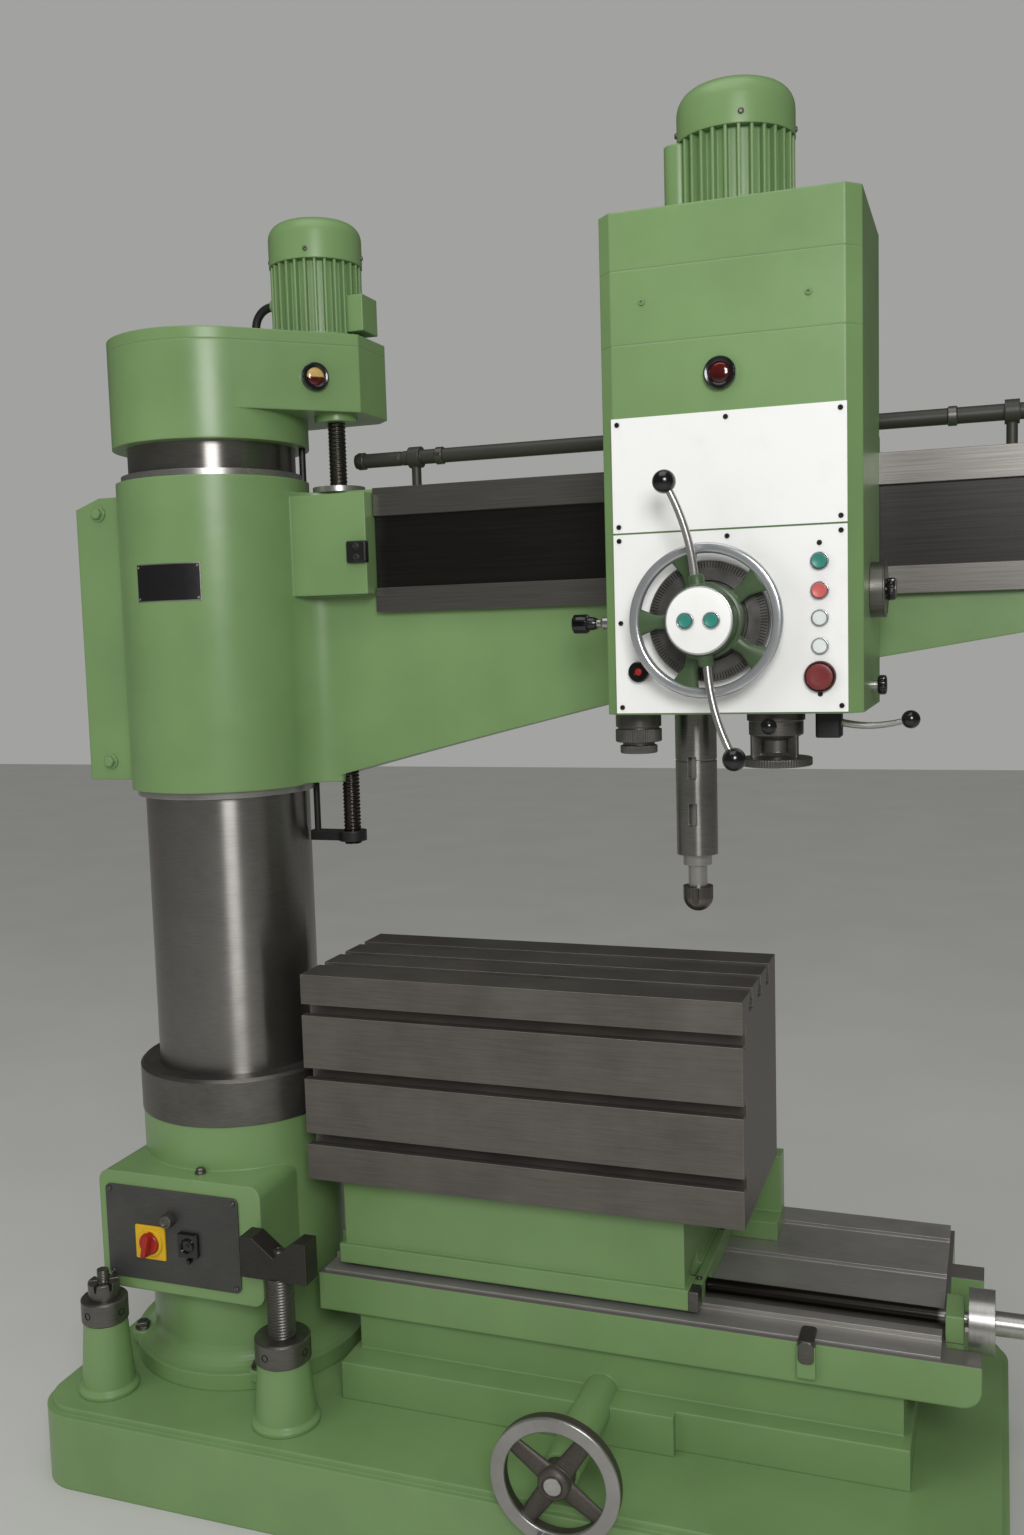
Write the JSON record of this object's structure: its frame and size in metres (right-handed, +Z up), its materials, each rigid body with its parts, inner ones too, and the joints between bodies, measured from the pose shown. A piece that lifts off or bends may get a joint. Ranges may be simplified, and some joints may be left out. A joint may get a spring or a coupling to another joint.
{
  "type": "radial_arm_drill",
  "caption": "Green radial arm drilling machine with a swinging lifting arm, sliding drill head, feed capstan and a slotted box table on a cross slide",
  "frame": {"origin": "on the floor under the column axis", "axes": "+X along the base and the arm to the right, -Y towards the operator, +Z up"},
  "size_m": [2.122, 0.976, 2.63],
  "materials": {
    "machine_green": "gloss machine enamel over cast iron",
    "ground_steel": "ground and machined iron, oiled",
    "bright_steel": "turned and ground steel",
    "gloss_black": "moulded black knob plastic",
    "black_steel": "black enamel",
    "panel_grey": "grey switch panel",
    "plate_white": "white enamelled plate",
    "signal_red": "red moulded plastic",
    "signal_green": "teal green moulded plastic",
    "lamp_white": "white lamp lens",
    "sight_glass": "oil sight glass",
    "bronze": "bronze nut",
    "chrome": "chromed rim"
  },
  "bodies": {
    "base": {"base_plate": "machine_green", "column_foot": "machine_green", "column_core": "ground_steel", "clamp_ring": "ground_steel", "switch_panel": "panel_grey", "jack_posts": "machine_green", "table_pedestal": "machine_green"},
    "main_switch": {"main_switch": "signal_red"},
    "left_jack_nut": {"left_jack_nut": "ground_steel"},
    "left_jack_screw": {"left_jack_screw": "ground_steel"},
    "right_jack_nut": {"right_jack_nut": "ground_steel"},
    "right_jack_screw": {"right_jack_screw": "ground_steel"},
    "cross_slide": {"bed": "machine_green", "bed_ways": "ground_steel"},
    "cross_screw": {"cross_screw": "bright_steel", "cross_handwheel": "ground_steel"},
    "table": {"carriage": "machine_green", "way_wiper": "machine_green", "box_table": "ground_steel"},
    "table_screw": {"table_screw": "bright_steel", "table_handwheel": "ground_steel"},
    "column": {"column_tube": "bright_steel", "top_casing": "machine_green", "casing_lid": "machine_green", "lift_motor": "machine_green", "lift_motor_cowl": "machine_green", "motor_conduit": "black_steel", "screw_bracket": "black_steel"},
    "lift_screw": {"lift_screw": "bright_steel", "lift_gear": "ground_steel"},
    "lift_pinion": {"lift_pinion": "ground_steel"},
    "arm": {"arm_casting": "machine_green", "arm_rails": "ground_steel", "lift_nut": "bronze", "side_cover": "machine_green", "cable_tube": "black_steel"},
    "head": {"head_body": "machine_green", "mid_cover": "machine_green", "top_cover": "machine_green", "face_plates": "plate_white", "indicator_lamps": "lamp_white", "head_glass": "sight_glass", "head_motor": "machine_green", "head_motor_cowl": "machine_green"},
    "quill": {"quill": "ground_steel"},
    "spindle": {"spindle": "bright_steel", "end_mill": "ground_steel"},
    "traverse_wheel": {"traverse_wheel": "chrome"},
    "feed_capstan": {"feed_capstan": "bright_steel"},
    "left_hub_button": {"left_hub_button": "signal_green"},
    "right_hub_button": {"right_hub_button": "signal_green"},
    "start_button": {"start_button": "signal_green"},
    "reverse_button": {"reverse_button": "signal_red"},
    "stop_button": {"stop_button": "signal_red"},
    "side_dial": {"side_dial": "bright_steel"},
    "clamp_knob": {"clamp_knob": "gloss_black"},
    "lock_knob": {"lock_knob": "gloss_black"},
    "depth_dial": {"depth_dial": "bright_steel"},
    "selector_wheel": {"selector_wheel": "bright_steel"},
    "clamp_lever": {"clamp_lever": "gloss_black"}
  },
  "joints": [
    {"name": "column_swing", "type": "hinge", "parent": "base", "child": "column", "pos_m": [0, 0, 0], "axis": [0, 0, 1], "range_deg": [-180, 180]},
    {"name": "arm_lift", "type": "slide", "parent": "column", "child": "arm", "axis": [0, 0, 1], "range_m": [-0.07, 0.045]},
    {"name": "lift_screw_turn", "type": "hinge", "parent": "column", "child": "lift_screw", "pos_m": [0.267, 0.06, 1.7], "axis": [0, 0, 1], "range_deg": [-3151, 2026]},
    {"name": "lift_pinion_turn", "type": "hinge", "parent": "column", "child": "lift_pinion", "pos_m": [0.21, 0.106, 2.23], "axis": [0, 0, 1], "range_deg": [-3624.7, 5637.8]},
    {"name": "head_traverse", "type": "slide", "parent": "arm", "child": "head", "axis": [1, 0, 0], "range_m": [-0.5, 0.35]},
    {"name": "traverse_wheel_turn", "type": "hinge", "parent": "head", "child": "traverse_wheel", "pos_m": [1.135, -0.334, 1.737], "axis": [0, 1, 0], "range_deg": [-1501, 1051]},
    {"name": "quill_feed", "type": "slide", "parent": "head", "child": "quill", "axis": [0, 0, 1], "range_m": [-0.09, 0.19]},
    {"name": "feed_capstan_turn", "type": "hinge", "parent": "head", "child": "feed_capstan", "pos_m": [1.135, -0.334, 1.737], "axis": [0, 1, 0], "range_deg": [-260.2, 548.2]},
    {"name": "spindle_turn", "type": "hinge", "parent": "quill", "child": "spindle", "pos_m": [1.071, -0.165, 1.32], "axis": [0, 0, 1], "continuous": true},
    {"name": "left_hub_button_press", "type": "slide", "parent": "feed_capstan", "child": "left_hub_button", "axis": [0, 1, 0], "range_m": [0, 0.003], "stiffness_N_per_m": 800},
    {"name": "right_hub_button_press", "type": "slide", "parent": "feed_capstan", "child": "right_hub_button", "axis": [0, 1, 0], "range_m": [0, 0.003], "stiffness_N_per_m": 800},
    {"name": "start_button_press", "type": "slide", "parent": "head", "child": "start_button", "axis": [0, 1, 0], "range_m": [0, 0.003], "stiffness_N_per_m": 800},
    {"name": "reverse_button_press", "type": "slide", "parent": "head", "child": "reverse_button", "axis": [0, 1, 0], "range_m": [0, 0.003], "stiffness_N_per_m": 800},
    {"name": "stop_button_press", "type": "slide", "parent": "head", "child": "stop_button", "axis": [0, 1, 0], "range_m": [0, 0.004], "stiffness_N_per_m": 800},
    {"name": "side_dial_turn", "type": "hinge", "parent": "head", "child": "side_dial", "pos_m": [1.378, -0.165, 1.782], "axis": [1, 0, 0], "range_deg": [-170, 170]},
    {"name": "clamp_knob_turn", "type": "hinge", "parent": "head", "child": "clamp_knob", "pos_m": [0.95, -0.165, 1.739], "axis": [1, 0, 0], "range_deg": [-360, 360]},
    {"name": "lock_knob_turn", "type": "hinge", "parent": "head", "child": "lock_knob", "pos_m": [1.378, -0.165, 1.62], "axis": [1, 0, 0], "range_deg": [-360, 360]},
    {"name": "depth_dial_turn", "type": "hinge", "parent": "head", "child": "depth_dial", "pos_m": [0.985, -0.24, 1.582], "axis": [0, 0, 1], "range_deg": [-180, 180]},
    {"name": "selector_turn", "type": "hinge", "parent": "head", "child": "selector_wheel", "pos_m": [1.226, -0.24, 1.582], "axis": [0, 0, 1], "range_deg": [-45, 45]},
    {"name": "clamp_lever_turn", "type": "hinge", "parent": "head", "child": "clamp_lever", "pos_m": [1.315, -0.24, 1.582], "axis": [0, 0, 1], "range_deg": [-25, 25]},
    {"name": "main_switch_turn", "type": "hinge", "parent": "base", "child": "main_switch", "pos_m": [-0.075, -0.266, 0.484], "axis": [0, 1, 0], "range_deg": [0, 90]},
    {"name": "left_jack_raise", "type": "slide", "parent": "base", "child": "left_jack_screw", "axis": [0, 0, 1], "range_m": [0, 0.05]},
    {"name": "left_jack_nut_turn", "type": "hinge", "parent": "base", "child": "left_jack_nut", "pos_m": [-0.175, -0.3, 0.345], "axis": [0, 0, 1], "range_deg": [-1, 3001]},
    {"name": "right_jack_raise", "type": "slide", "parent": "base", "child": "right_jack_screw", "axis": [0, 0, 1], "range_m": [0, 0.05]},
    {"name": "right_jack_nut_turn", "type": "hinge", "parent": "base", "child": "right_jack_nut", "pos_m": [0.246, -0.3, 0.325], "axis": [0, 0, 1], "range_deg": [-1, 3001]},
    {"name": "cross_feed", "type": "slide", "parent": "base", "child": "cross_slide", "axis": [0, 1, 0], "range_m": [-0.06, 0.08]},
    {"name": "cross_screw_turn", "type": "hinge", "parent": "base", "child": "cross_screw", "pos_m": [0.856, -0.448, 0.238], "axis": [0, 1, 0], "range_deg": [-3601, 4801]},
    {"name": "table_feed", "type": "slide", "parent": "cross_slide", "child": "table", "axis": [1, 0, 0], "range_m": [-0.012, 0.4]},
    {"name": "table_screw_turn", "type": "hinge", "parent": "cross_slide", "child": "table_screw", "pos_m": [1.69, -0.03, 0.4363], "axis": [1, 0, 0], "range_deg": [-541, 18001]}
  ],
  "couplings": [
    {"joint": "lift_screw_turn", "follows": "arm_lift", "rad_per_m": 785.4},
    {"joint": "lift_pinion_turn", "follows": "arm_lift", "rad_per_m": -1405.4},
    {"joint": "traverse_wheel_turn", "follows": "head_traverse", "rad_per_m": 52.36},
    {"joint": "feed_capstan_turn", "follows": "quill_feed", "rad_per_m": 50.266},
    {"joint": "left_jack_nut_turn", "follows": "left_jack_raise", "rad_per_m": 1047.2},
    {"joint": "right_jack_nut_turn", "follows": "right_jack_raise", "rad_per_m": 1047.2},
    {"joint": "cross_screw_turn", "follows": "cross_feed", "rad_per_m": 1047.2},
    {"joint": "table_screw_turn", "follows": "table_feed", "rad_per_m": 785.4}
  ]
}
